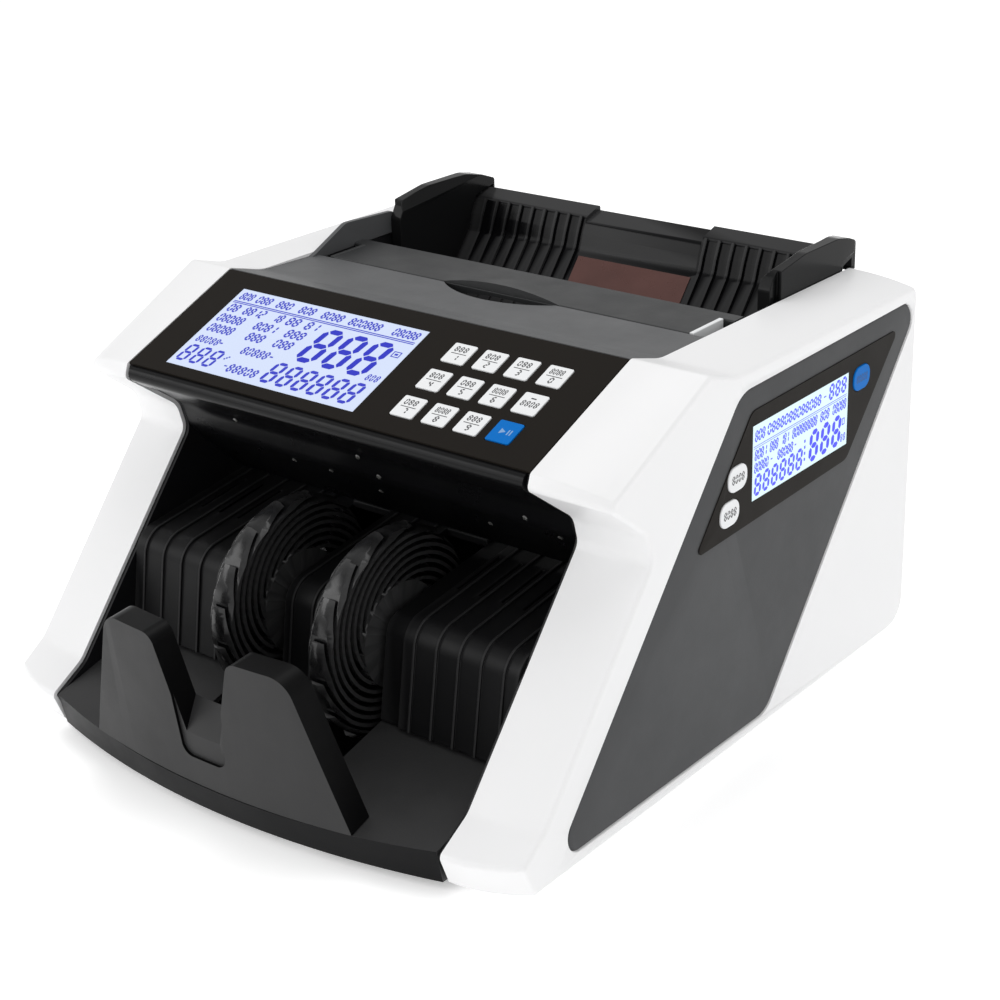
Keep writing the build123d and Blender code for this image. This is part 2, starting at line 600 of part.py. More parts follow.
# ---------------------------------------------------------------- stacker hood
HOOD = [(-98.5, 30.9, 0.0), (-91.2, 73.6, 11.0), (-20.0, 82.4, 0.0)]
HOOD_T = 3.0
STRIP_DEPTH = 1.8       # the smooth strips beside the wheels lie lower than the ribbed faces
hood = across(band(HOOD, -HOOD_T), -INNER_X, INNER_X)
strip_depth = across(band(shifted(HOOD, 0.5), -0.5 - STRIP_DEPTH), SLOT_X[1], STRIP_X)
hood = cut(hood, both_sides(strip_depth))
hood = cut(hood, both_sides(block(SLOT_X, (-120.0, -27.0), (20, 95))))
rib_x = [53.0 + RIB_PITCH * i for i in range(5)]
rib_band = band(shifted(HOOD, -0.5), 1.5)
ribs = [across(rib_band, x - 0.5, x + 0.5) for x in rib_x]
hood = join(hood, [r for rib in ribs for r in both_sides(rib)])
hood = join(hood, [across(rib_band, x - 0.5, x + 0.5) for x in (-RIB_PITCH, 0.0, RIB_PITCH)])
slits = [block((x - 4.1, x - 2.9), (-62.0, -35.0), (70, 95)) for x in rib_x]
hood = cut(hood, [s for slit in slits for s in both_sides(slit)])
save("stacker_hood", hood)

# ---------------------------------------------------------------- impeller wheels and shaft
FIN_SWEEP = 165.0       # degrees that a fin winds from its tip down to its root
FIN_ROOT = 20.0
FIN_CURVE = 1.15        # above 1, a fin leaves the rim more gently than it reaches the hub
FIN_STEPS = (0.0, 12.0, 35.0, 65.0, 100.0, 135.0, 160.0)
FIRST_TIP = -6.0
TIP_WIDTH = 2.4         # the fins are ground to a narrow tip from both sides
TIP_DEPTH = 3.6


def fin_point(tip, back, depth):
    """Point on a fin, by the angle behind its tip and the depth under its outer face."""
    reach = FIN_ROOT + (WHEEL_R - FIN_ROOT) * (1 - (back / FIN_SWEEP) ** FIN_CURVE) - depth
    turn = radians(tip - back)
    return (-reach * cos(turn), reach * sin(turn))


def fin(tip):
    """Outline of one spiral fin from its tip down to the hub."""
    outer = Spline(*[fin_point(tip, back, 0.0) for back in FIN_STEPS])
    inner = Spline(*[fin_point(tip, back, FIN_T * 1.1) for back in FIN_STEPS])
    return make_face(Wire([outer, Line(outer @ 1, inner @ 1), inner, Line(inner @ 0, outer @ 0)]))


wheel_face = Circle(FIN_ROOT + 2.2)
for i in range(FIN_COUNT):
    wheel_face = wheel_face + fin(FIRST_TIP + i * 360.0 / FIN_COUNT)
wheel_face = wheel_face - Circle(SHAFT_R + 0.02)
half_width, half_tip, shoulder = WHEEL_WIDTH / 2, TIP_WIDTH / 2, WHEEL_R - TIP_DEPTH
bevelled_disc = revolve(Plane.XY * make_face(Polyline(
    (-half_width, 0), (-half_width, shoulder), (-half_tip, WHEEL_R + 0.1), (half_tip, WHEEL_R + 0.1),
    (half_width, shoulder), (half_width, 0), close=True)), Axis.X)
for name, centre in (("impeller_wheel_left", -WHEEL_X), ("impeller_wheel_right", WHEEL_X)):
    wheel = extrude(Plane.YZ.offset(centre - half_width) * (Pos(*WHEEL_AXIS) * wheel_face), WHEEL_WIDTH)
    save(name, wheel & (Pos(centre, *WHEEL_AXIS) * bevelled_disc))


def pulley(axis, radius):
    """Flanged belt pulley on a shaft outside the left frame."""
    wheel = shaft_between(axis, radius, BELT_X[0] - 0.6, BELT_X[1] + 0.6)
    flanges = [shaft_between(axis, radius + 2.0, x, x + 1.0) for x in (BELT_X[0] - 1.6, BELT_X[1] + 0.6)]
    return join(wheel, flanges)


def belt_shaft(axis, radius, end=POCKET_X + 1.5):
    """Shaft from the right bearing to its pulley outside the left frame."""
    return shaft_between(axis, SHAFT_R, BELT_X[0] - 3.0, end) + pulley(axis, radius)


save("impeller_shaft", belt_shaft(WHEEL_AXIS, IMPELLER_PULLEY_R))
save("feed_shaft", belt_shaft(DRUM_AXIS, DRUM_PULLEY_R))
save("pickup_shaft", belt_shaft(PICKUP_AXIS, PICKUP_PULLEY_R))

drum = ring_between(DRUM_AXIS, DRUM_R - 1.5, SHAFT_R + 0.02, -72.0, 72.0)
drum = join(drum, both_sides(ring_between(DRUM_AXIS, DRUM_R, DRUM_R - 3, 20.0, 34.0)))
drum = cut(drum, both_sides(ring_between(DRUM_AXIS, DRUM_R - 5, 9.0, 40.0, 80.0)))
save("feed_rollers", drum)
save("pickup_rollers", *both_sides(ring_between(PICKUP_AXIS, PICKUP_R, SHAFT_R + 0.02, 20.0, 32.0)))

# ---------------------------------------------------------------- motors and belts
MOTOR_FACE = -POCKET_X + FRAME_T + 0.1
motors = []
for axis, radius, length in ((MOTOR_AXIS, 21.0, 56.0), (STACKER_MOTOR_AXIS, 16.0, 40.0)):
    can = shaft_between(axis, radius, MOTOR_FACE, MOTOR_FACE + length)
    can = chamfer(can.edges().group_by(Axis.X)[-1], 2.0)
    can = can + shaft_between(axis, 7.8, MOTOR_FACE - 1.8, MOTOR_FACE + 1)
    can = can + shaft_between(axis, 6.0, MOTOR_FACE + length - 1, MOTOR_FACE + length + 3)
    motors.append(can - shaft_between(axis, 3.05, MOTOR_FACE - 3, MOTOR_FACE + 20))
save("drive_motors", *motors)
for name, axis in (("main_motor_pulley", MOTOR_AXIS), ("stacker_motor_pulley", STACKER_MOTOR_AXIS)):
    save(name, shaft_between(axis, 3.0, BELT_X[0] - 3.0, MOTOR_FACE + 18) + pulley(axis, MOTOR_PULLEY_R))


def loop(circles, grow):
    """Area inside a belt around circles given as (axis, radius)."""
    return make_hull([e for axis, r in circles for e in (Pos(*axis) * Circle(r + grow)).edges()])


feed_loop = [(MOTOR_AXIS, MOTOR_PULLEY_R), (PICKUP_AXIS, PICKUP_PULLEY_R), (DRUM_AXIS, DRUM_PULLEY_R)]
stacker_loop = [(STACKER_MOTOR_AXIS, MOTOR_PULLEY_R), (WHEEL_AXIS, IMPELLER_PULLEY_R)]
belts = [extrude(Plane.YZ.offset(BELT_X[0] + 0.3) * (loop(c, 0.3 + BELT_T) - loop(c, 0.3)), 5.4)
         for c in (feed_loop, stacker_loop)]
save("drive_belts", *belts)

# note path under the drum and out over the hood
PATH_R = 33.0
path = [(DRUM_AXIS[0] + PATH_R, 104.0, 0.0), (DRUM_AXIS[0] + PATH_R, 54.58, PATH_R), (-18.0, 83.2, 0.0)]
save("note_path_plate", across(band(path, 1.5), -INNER_X, INNER_X))

# ---------------------------------------------------------------- hopper bed
BED_TOP = (132.1, 153.0)
BED_END = (93.8, 109.4)
BED_T = 2.2
LEDGE_SIDE = [(LEDGE_Y[1], 163.2, 0.0), (LEDGE_Y[1], LEDGE_Z[1], 1.2), (LEDGE_Y[0], LEDGE_Z[0], 3.0),
              (134.5, 160.0, 6.0), (*BED_TOP, 10.0), (*BED_END, 0.0)]
LEDGE_MIDDLE = [(LEDGE_Y[1], 163.2, 0.0), (LEDGE_Y[1], LEDGE_Z[1] - 2.0, 1.2), (LEDGE_Y[0] - 1.2, 165.0, 3.0),
                (134.3, 159.6, 6.0), (*BED_TOP, 10.0), (*BED_END, 0.0)]
bed = across(band(LEDGE_MIDDLE, BED_T), -LEDGE_DIP_X, LEDGE_DIP_X)
bed = join(bed, both_sides(across(band(LEDGE_SIDE, BED_T), LEDGE_DIP_X, INNER_X)))
bed_rib = band(shifted(LEDGE_SIDE[2:], 0.5), -1.7)
bed_ribs = [across(bed_rib, x - 0.7, x + 0.7) for x in [34.5 + 7.1 * i for i in range(9)]]
bed = join(bed, [r for rib in bed_ribs for r in both_sides(rib)])
bed = cut(bed, both_sides(block((19.0, 33.0), (PICKUP_AXIS[0] - 20, PICKUP_AXIS[0] - 1),
                               (PICKUP_AXIS[1] - 4, PICKUP_AXIS[1] + 18))))
save("hopper_bed", bed)
bed_slope = hypot(BED_END[0] - BED_TOP[0], BED_END[1] - BED_TOP[1])
down = ((BED_END[0] - BED_TOP[0]) / bed_slope, (BED_END[1] - BED_TOP[1]) / bed_slope)


def on_bed(t, height):
    """(y, z) at a distance down the bed and a height above it."""
    return (BED_TOP[0] + down[0] * t + down[1] * height, BED_TOP[1] + down[1] * t - down[0] * height)


wear = [on_bed(3.5, 0.02), on_bed(3.5, 0.6), on_bed(27.0, 0.6), on_bed(27.0, 0.02)]
save("wear_plate", across(wear, -31.0, 31.0))

# note guides: they hook over the rim behind the ledge and slide along it
GUIDE = [
    (80.0, 128.0, 3.0), (80.0, 170.0, 4.0), (84.0, 177.0, 5.0), (105.0, 180.0, 20.0), (132.0, 179.6, 20.0),
    (141.0, 177.6, 6.0), (150.3, 174.0, 1.5), (150.3, 161.4), (146.2, 161.4), (146.2, 162.8), (148.9, 162.8),
    (148.9, 171.2), (135.8, 168.2, 2.0), (132.2, 161.4, 6.0), (*on_bed(0, 2.2), 8.0), (107.0, 128.0, 6.0),
]
GUIDE_X = (96.5, 102.4, 104.5)
guide = across(GUIDE, GUIDE_X[0], GUIDE_X[1])
upper = across(GUIDE, GUIDE_X[1] - 1, GUIDE_X[2]) & block((90, 120), (85.5, 145.6), (163.2, 190))
guide = guide + upper


def guide_bevel(y, x_reach, z_low, z_high):
    """Section that is cut off a guide's inner top edge at y."""
    low, high = GUIDE_X[0] - 1, GUIDE_X[0] + x_reach
    return Plane.XZ.offset(-y) * make_face(Polyline((low, z_low), (high, z_high), (high, 190), (low, 190),
                                                    close=True))


bevel_front = guide_bevel(60, 5.0, 170.5, 177.4)
bevel_rear = guide_bevel(160, 1.5, 178.5, 181.0)
guide = guide - loft([bevel_front, bevel_rear])
save("right_note_guide", guide)
save("left_note_guide", mirror(guide, Plane.YZ))

# ---------------------------------------------------------------- feed lid
LID_X = (95.0, 97.0, 102.0)      # lid end, outer face of the end strips, hinge end
lid_z = (LID_Z - LID_T, LID_Z)
lid = block((-LID_X[0], LID_X[0]), (LID_Y[0], 54.2), lid_z)
lid = lid + block((-LID_X[2], LID_X[2]), (54.0, LID_Y[1]), lid_z)
lid = fillet(lid.edges().filter_by(Axis.X).group_by(Axis.Z)[-1], 0.8)
lid = lid + shaft_between(HINGE, 3.2, -98.0, 98.0)
GRIP = (31.0, 3.4, 52.4)          # half width, rise, rear edge
grip_r = (GRIP[0] ** 2 + GRIP[1] ** 2) / (2 * GRIP[1])
grip_face = Pos(0, LID_Z + GRIP[1] - grip_r) * Circle(grip_r) & Pos(0, LID_Z + 3) * Rectangle(80, 6.6)
grip = extrude(Plane.XZ.offset(-(LID_Y[0] + 30)) * grip_face, 30)
grip = grip.rotate(Axis((0, LID_Y[0], LID_Z), (1, 0, 0)), -degrees(atan2(GRIP[1] + 0.3, GRIP[2] - LID_Y[0])))
lid = lid + (grip & block((-60, 60), (LID_Y[0], 56), (LID_Z - 1.5, LID_Z + 6)))
grip_under = Pos(0, LID_Z - LID_T + 1.8 - grip_r) * Circle(grip_r) & Pos(0, LID_Z - 4) * Rectangle(80, 8)
lid = lid - (extrude(Plane.XZ.offset(-(LID_Y[0] + 9)) * grip_under, 12))
lid = lid - shaft_between(HINGE, 1.56, -110, 110)
save("feed_lid", lid)
strip = block((LID_X[0] + 0.01, LID_X[1]), (LID_Y[0] + 0.2, 53.9), (lid_z[0], LID_Z + 0.3))
save("lid_end_strips", *both_sides(strip))
save("lid_hinge_pin", shaft_between(HINGE, 1.5, -POCKET_X + 0.3, POCKET_X - 0.3))

# ---------------------------------------------------------------- boards inside
board_x = (109.0, 110.6)
main_board = block(board_x, (8.0, 104.0), (56.0, 142.0))
parts = [block((110.6, 113.4), (20.0, 36.0), (66.0, 82.0)),
         block((110.6, 112.6), (46.0, 56.0), (70.0, 80.0)),
         block((110.6, 120.0), (84.0, 100.0), (62.0, 72.0)),
         block((110.6, 118.0), (12.0, 26.0), (92.0, 100.0)),
         shaft_between((70.0, 68.0), 4.5, 110.6, 122.0), shaft_between((70.0, 80.0), 4.5, 110.6, 122.0),
         block((110.6, 116.0), (30.0, 70.0), (108.0, 132.0))]
stands = [shaft_between(place, 2.6, POCKET_X + 0.05, 109.2)
          for place in ((12, 60), (100, 60), (12, 138), (100, 138))]
save("main_board", join(main_board, parts + stands))

supply_z = BASE_Z + WALL + 6
supply = block((20.0, 92.0), (42.0, 126.0), (supply_z, supply_z + 1.6))
parts = [block((30.0, 62.0), (52.0, 84.0), (supply_z + 1.5, supply_z + 30.0)),
         block((70.0, 88.0), (50.0, 90.0), (supply_z + 1.5, supply_z + 22.0)),
         block((30.0, 44.0), (96.0, 114.0), (supply_z + 1.5, supply_z + 12.0))]
parts += [Pos(x, y, supply_z + 13) * Cylinder(7.0, 24.0) for x, y in ((56.0, 104.0), (76.0, 106.0))]
stands = [Pos(x, y, supply_z - 3) * Cylinder(3.0, 6.0) for x in (25, 87) for y in (47, 121)]
save("power_supply", join(supply, parts + stands))
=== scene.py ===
"""Looks of the banknote counter: materials, detailed pieces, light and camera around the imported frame."""
import json
import math

import bmesh
import bpy
from mathutils import Matrix, Vector
from mathutils.bvhtree import BVHTree

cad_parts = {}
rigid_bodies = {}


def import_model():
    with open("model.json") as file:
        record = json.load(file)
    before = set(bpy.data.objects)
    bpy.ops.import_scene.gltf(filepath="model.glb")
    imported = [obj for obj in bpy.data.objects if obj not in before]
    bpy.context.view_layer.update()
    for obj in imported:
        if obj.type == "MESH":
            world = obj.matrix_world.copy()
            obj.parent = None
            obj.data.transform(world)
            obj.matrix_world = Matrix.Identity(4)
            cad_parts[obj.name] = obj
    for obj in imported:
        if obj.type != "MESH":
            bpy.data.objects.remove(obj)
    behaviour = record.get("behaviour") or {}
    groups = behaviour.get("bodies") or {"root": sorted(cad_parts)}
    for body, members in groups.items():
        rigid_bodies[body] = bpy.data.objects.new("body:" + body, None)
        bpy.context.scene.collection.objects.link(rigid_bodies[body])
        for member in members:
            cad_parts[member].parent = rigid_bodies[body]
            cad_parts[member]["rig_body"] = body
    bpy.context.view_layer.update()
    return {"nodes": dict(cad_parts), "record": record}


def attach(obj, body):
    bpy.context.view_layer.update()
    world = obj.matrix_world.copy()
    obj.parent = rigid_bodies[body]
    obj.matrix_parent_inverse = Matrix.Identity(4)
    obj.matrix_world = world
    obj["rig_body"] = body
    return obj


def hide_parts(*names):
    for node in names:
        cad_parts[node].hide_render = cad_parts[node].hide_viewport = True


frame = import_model()
NODES = frame["nodes"]
BODY_OF = {n: o["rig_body"] for n, o in NODES.items()}
MM = 0.001              # metres in a millimetre
SHIFT_Y = 5.0           # mm added to each y below, which is measured from the middle of the side covers


# ------------------------------------------------------------------ materials
NOISE_SPREAD = (0.25, 0.75)         # where nearly all of a noise factor lies
CLOUD_SCALE = 55.0                  # noise scale of the roughness clouds
HIGHLIGHT_POINTINESS = (0.52, 0.62)      # where the painted highlight on an edge starts and where it is full
HIGHLIGHT_GAIN = 1.6                     # colour of a painted edge highlight against the surface's
GRAIN_DEPTH = 0.0003                # metres
COAT_ROUGHNESS = 0.08


def new_material(name):
    m = bpy.data.materials.new(name)
    m.use_nodes = True
    return m, m.node_tree, m.node_tree.nodes["Principled BSDF"]


def noise(tree, source, scale, detail, roughness):
    """Noise texture on the given coordinates."""
    n = tree.nodes.new("ShaderNodeTexNoise")
    n.inputs["Scale"].default_value = scale
    n.inputs["Detail"].default_value = detail
    n.inputs["Roughness"].default_value = roughness
    tree.links.new(source, n.inputs["Vector"])
    return n


def ramp(tree, value, low, high):
    """Maps a noise factor to a number between low and high."""
    r = tree.nodes.new("ShaderNodeMapRange")
    r.inputs["From Min"].default_value, r.inputs["From Max"].default_value = NOISE_SPREAD
    r.inputs["To Min"].default_value = low
    r.inputs["To Max"].default_value = high
    tree.links.new(value, r.inputs["Value"])
    return r.outputs["Result"]


def moulded(name, colour, rough=0.35, grain=0.0, grain_size=900.0, vary=0.05, rough_vary=0.06,
            coat=0.0, metallic=0.0, edge_highlight=0.0, specular=0.5, mottle=18.0, edge_lift=0.04):
    """Moulded or painted surface: slow colour drift, roughness clouds, fine grain and painted highlights on
    sharp edges.
    """
    m, tree, bsdf = new_material(name)
    coord = tree.nodes.new("ShaderNodeTexCoord").outputs["Object"]
    slow = noise(tree, coord, mottle, 4.0, 0.55)
    dark = tuple(c * (1 - vary) for c in colour)
    light = tuple(min(1.0, c * (1 + vary)) for c in colour)
    mix = tree.nodes.new("ShaderNodeMix")
    mix.data_type = "RGBA"
    mix.inputs["A"].default_value = (*dark, 1)
    mix.inputs["B"].default_value = (*light, 1)
    tree.links.new(slow.outputs["Fac"], mix.inputs["Factor"])
    out = mix.outputs["Result"]
    # painted highlight: sharp edges, found by pointiness, are drawn paler than the surface
    if edge_highlight > 0:
        geo = tree.nodes.new("ShaderNodeNewGeometry")
        sharp = tree.nodes.new("ShaderNodeMapRange")
        sharp.inputs["From Min"].default_value = HIGHLIGHT_POINTINESS[0]
        sharp.inputs["From Max"].default_value = HIGHLIGHT_POINTINESS[1]
        sharp.inputs["To Max"].default_value = edge_highlight
        tree.links.new(geo.outputs["Pointiness"], sharp.inputs["Value"])
        edge = tree.nodes.new("ShaderNodeMix")
        edge.data_type = "RGBA"
        highlit = tuple(min(1.0, c * HIGHLIGHT_GAIN + edge_lift) for c in colour)
        edge.inputs["B"].default_value = (*highlit, 1)
        tree.links.new(sharp.outputs["Result"], edge.inputs["Factor"])
        tree.links.new(out, edge.inputs["A"])
        out = edge.outputs["Result"]
    tree.links.new(out, bsdf.inputs["Base Color"])
    cloud = noise(tree, coord, CLOUD_SCALE, 5.0, 0.6)
    clouded = ramp(tree, cloud.outputs["Fac"], rough - rough_vary, rough + rough_vary)
    tree.links.new(clouded, bsdf.inputs["Roughness"])
    bsdf.inputs["Metallic"].default_value = metallic
    bsdf.inputs["Specular IOR Level"].default_value = specular
    bsdf.inputs["Coat Weight"].default_value = coat
    bsdf.inputs["Coat Roughness"].default_value = COAT_ROUGHNESS
    if grain > 0:
        fine = noise(tree, coord, grain_size, 3.0, 0.6)
        bump = tree.nodes.new("ShaderNodeBump")
        bump.inputs["Strength"].default_value = grain
        bump.inputs["Distance"].default_value = GRAIN_DEPTH
        tree.links.new(fine.outputs["Fac"], bump.inputs["Height"])
        tree.links.new(bump.outputs["Normal"], bsdf.inputs["Normal"])
    return m


# A material given an edge amount gets a painted highlight of that strength on its sharp edges; edge_lift
# adds to it.
MATERIALS = {
    "white": moulded("white_shell", (0.85, 0.85, 0.855), rough=0.34, vary=0.01, rough_vary=0.05,
                     specular=0.35),
    "frame": moulded("frame_black", (0.007, 0.007, 0.008), rough=0.36, grain=0.2, grain_size=1200,
                     vary=0.15, rough_vary=0.08, edge_highlight=0.25, specular=0.25),
    "hood": moulded("hood_black", (0.0065, 0.0065, 0.007), rough=0.42, grain=0.08, grain_size=1000,
                    vary=0.2, rough_vary=0.07, edge_highlight=0.7, specular=0.14, edge_lift=0.07),
    "wheel": moulded("wheel_black", (0.004, 0.004, 0.0045), rough=0.22, vary=0.2, edge_highlight=0.8, specular=0.4,
                     edge_lift=0.045),
    "tray": moulded("tray_black", (0.022, 0.022, 0.0225), rough=0.36, grain=0.15, grain_size=1100,
                    vary=0.12, rough_vary=0.08, edge_highlight=0.2, specular=0.3),
    "tray_lip": moulded("tray_lip_black", (0.003, 0.003, 0.0035), rough=0.4, grain=0.06, grain_size=1100,
                        vary=0.12, specular=0.1),
    "gloss": moulded("gloss_black", (0.0035, 0.0035, 0.004), rough=0.3, vary=0.1, rough_vary=0.05,
                     specular=0.16),
    "film": moulded("panel_film", (0.0115, 0.0094, 0.0075), rough=0.42, vary=0.08, rough_vary=0.05,
                    specular=0.06),
    "top": moulded("top_grey", (0.078, 0.08, 0.083), rough=0.42, grain=0.2, grain_size=1300, vary=0.06,
                   specular=0.4),
    "lid": moulded("lid_grey", (0.023, 0.024, 0.025), rough=0.4, grain=0.2, grain_size=1300, vary=0.08,
                   edge_highlight=0.25, specular=0.3),
    "hopper": moulded("hopper_black", (0.003, 0.003, 0.0035), rough=0.18, grain=0.06, grain_size=1000,
                      vary=0.15, edge_highlight=0.6, specular=0.09, edge_lift=0.05),
    "guide": moulded("guide_black", (0.004, 0.0042, 0.0045), rough=0.18, grain=0.06, grain_size=1200,
                     vary=0.1, rough_vary=0.05, edge_highlight=0.6, specular=0.1, edge_lift=0.05),
    "stopper": moulded("stopper_grey", (0.026, 0.026, 0.0265), rough=0.46, grain=0.14, grain_size=1200,
                       vary=0.06, edge_highlight=0.3, specular=0.2),
    "stopper_rim": moulded("stopper_rim_black", (0.002, 0.002, 0.0022), rough=0.36, vary=0.1,
                           rough_vary=0.05, specular=0.1),
    "inlay": moulded("inlay_grey", (0.038, 0.039, 0.041), rough=0.44, grain=0.12, grain_size=1500,
                     vary=0.08, metallic=0.2, edge_highlight=0.5, specular=0.2),
    "key": moulded("key_white", (0.82, 0.83, 0.84), rough=0.38, grain=0.06, grain_size=1500, vary=0.02,
                   rough_vary=0.05, specular=0.3),
    "blue": moulded("key_blue", (0.0, 0.15, 0.53), rough=0.4, rough_vary=0.05, specular=0.08),
    "copper": moulded("copper_plate", (0.105, 0.045, 0.038), rough=0.3, grain=0.12, grain_size=500,
                      vary=0.25, rough_vary=0.12, metallic=0.3, specular=0.4, mottle=60.0),
    "steel": moulded("turned_steel", (0.55, 0.55, 0.56), rough=0.28, grain=0.1, rough_vary=0.08,
                     metallic=1.0),
    "brass": moulded("sintered_bronze", (0.5, 0.33, 0.13), rough=0.42, grain=0.2, grain_size=1200, vary=0.1,
                     rough_vary=0.08, metallic=1.0),
    "rubber": moulded("rubber_black", (0.02, 0.02, 0.021), rough=0.75, grain=0.35, grain_size=800,
                      vary=0.15, rough_vary=0.08),
    "board": moulded("circuit_green", (0.012, 0.12, 0.045), grain=0.1, grain_size=700, vary=0.2,
                     rough_vary=0.08),
    "inlet": moulded("inlet_black", (0.012, 0.012, 0.013), rough=0.4, grain=0.15, grain_size=1200,
                     vary=0.1),
    "lcd": moulded("lcd_face", (0.38, 0.43, 0.55), rough=0.24, vary=0.02, rough_vary=0.03, specular=0.3),
    "lcd_side": moulded("side_lcd_face", (0.42, 0.52, 0.56), rough=0.24, vary=0.02, rough_vary=0.03,
                        specular=0.3),
    "dot": moulded("sensor_lens", (0.08, 0.08, 0.076), rough=0.15, rough_vary=0.05, coat=0.5),
    "segment": moulded("lcd_segment_dark", (0.012, 0.015, 0.24), rough=0.4, vary=0.02, rough_vary=0.03,
                       specular=0.2),
    "segment_thin": moulded("lcd_segment", (0.02, 0.025, 0.26), rough=0.4, vary=0.02, rough_vary=0.03,
                            specular=0.2),
    "segment_side": moulded("side_segment_dark", (0.018, 0.022, 0.45), rough=0.4, vary=0.02,
                            rough_vary=0.03),
    "segment_side_thin": moulded("side_segment", (0.03, 0.036, 0.45), rough=0.4, vary=0.02,
                                 rough_vary=0.03),
    "print_dark": moulded("key_print_grey", (0.025, 0.025, 0.028), rough=0.5, rough_vary=0.05),
    "print_pale": moulded("key_print_pale", (0.2, 0.36, 0.62), rough=0.5, rough_vary=0.05),
    "print_blue": moulded("key_print_blue", (0.008, 0.07, 0.22), rough=0.5, rough_vary=0.05),
}
GLOWS = {
    "lcd": ((0.70, 0.79, 1.0), 0.4), "lcd_side": ((0.72, 0.93, 1.0), 0.5),
    "segment": ((0.02, 0.03, 0.5), 0.6), "segment_thin": ((0.03, 0.04, 0.5), 0.6),
    "segment_side": ((0.03, 0.035, 0.85), 0.6), "segment_side_thin": ((0.04, 0.05, 0.85), 0.6),
}
SLOT_MATERIAL = {
    "white_shell": "white", "frame_black": "frame", "tray_black": "tray", "gloss_black": "gloss",
    "panel_film": "film", "top_grey": "top", "lid_grey": "lid", "stopper_grey": "stopper",
    "inlay_grey": "inlay", "display": "lcd", "key_white": "key", "key_blue": "blue",
    "copper": "copper", "steel": "steel", "bearing": "brass", "rubber": "rubber", "board": "board",
    "inlet": "inlet",
}
NODE_SLOT = {s["node"]: s["material_slot"] for s in frame["record"]["subparts"]}
NODE_MATERIAL = {
    "stacker_hood": "hood", "impeller_wheel_left": "wheel", "impeller_wheel_right": "wheel",
    "hopper_bed": "hopper", "left_note_guide": "guide", "right_note_guide": "guide",
    "lid_end_strips": "key", "side_lcd": "lcd_side",
}


def glow(key, colour, strength):
    """Backlit surface: a share of its own light."""
    bsdf = MATERIALS[key].node_tree.nodes["Principled BSDF"]
    bsdf.inputs["Emission Color"].default_value = (*colour, 1)
    bsdf.inputs["Emission Strength"].default_value = strength


def material_key(node):
    """A CAD node's material: its own one, or else that of its slot."""
    return NODE_MATERIAL.get(node, SLOT_MATERIAL[NODE_SLOT[node]])


for key, (colour, strength) in GLOWS.items():
    glow(key, colour, strength)
for node, obj in NODES.items():
    obj.data.materials.clear()
    obj.data.materials.append(MATERIALS[material_key(node)])

# ------------------------------------------------------------------ mesh helpers
WELD = 2e-6             # metres within which corners are joined
FLAT_ANGLE = 0.4        # degrees below which neighbouring faces count as one flat face
SMOOTH_ANGLE = 35       # degrees up to which a rebuilt node's edges are shaded smooth
BEVEL_ANGLE = 32        # degrees above which they are rounded
BEVEL_SEGMENTS = 2


def link(name, mesh, body, key, smooth=None):
    """Adds a mesh as a named piece on a body, with its material."""
    obj = bpy.data.objects.new(name, mesh)
    bpy.context.scene.collection.objects.link(obj)
    mesh.materials.clear()
    mesh.materials.append(MATERIALS[key])
    if smooth is not None:
        mesh.shade_smooth()
        mesh.set_sharp_from_angle(angle=math.radians(smooth))
    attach(obj, body)
    return obj


def bevelled(obj, width):
    """Rounds the piece's edges by a width in millimetres."""
    mod = obj.modifiers.new("edge", "BEVEL")
    mod.width = width * MM
    mod.segments = BEVEL_SEGMENTS
    mod.limit_method = "ANGLE"
    mod.angle_limit = math.radians(BEVEL_ANGLE)
    mod.use_clamp_overlap = True
    mod.miter_outer = "MITER_ARC"


def soften(node, width):
    """Detailed piece for a CAD node: welded, evenly shaded and, above width 0, with rounded edges."""
    mesh = NODES[node].data.copy()
    bm = bmesh.new()
    bm.from_mesh(mesh)
    bmesh.ops.remove_doubles(bm, verts=bm.verts, dist=WELD)
    if width > 0:
        bmesh.ops.dissolve_limit(bm, angle_limit=math.radians(FLAT_ANGLE), verts=bm.verts, edges=bm.edges)
    bm.normal_update()
    bm.to_mesh(mesh)
    bm.free()
    obj = link(node + "_piece", mesh, BODY_OF[node], material_key(node), SMOOTH_ANGLE)
    if width > 0:
        bevelled(obj, width)
    normals = obj.modifiers.new("normals", "WEIGHTED_NORMAL")
    normals.keep_sharp = True
    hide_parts(node)


def plates(name, shapes, place, body, key, half):
    """Thin printed shapes: polygons in a flat plane, reaching half a thickness to each side of it.

    place maps (u, v, height) in millimetres to a point in the frame, in metres.
    """
    bm = bmesh.new()
    for shape in shapes:
        low = [bm.verts.new(place(u, v, -half)) for u, v in shape]
        high = [bm.verts.new(place(u, v, half)) for u, v in shape]
        bm.faces.new(high)
        bm.faces.new(list(reversed(low)))
        count = len(shape)
        for i in range(count):
            j = (i + 1) % count
            bm.faces.new((low[i], low[j], high[j], high[i]))
    bmesh.ops.recalc_face_normals(bm, faces=bm.faces)
    mesh = bpy.data.meshes.new(name)
    bm.to_mesh(mesh)
    bm.free()
    link(name, mesh, body, key)


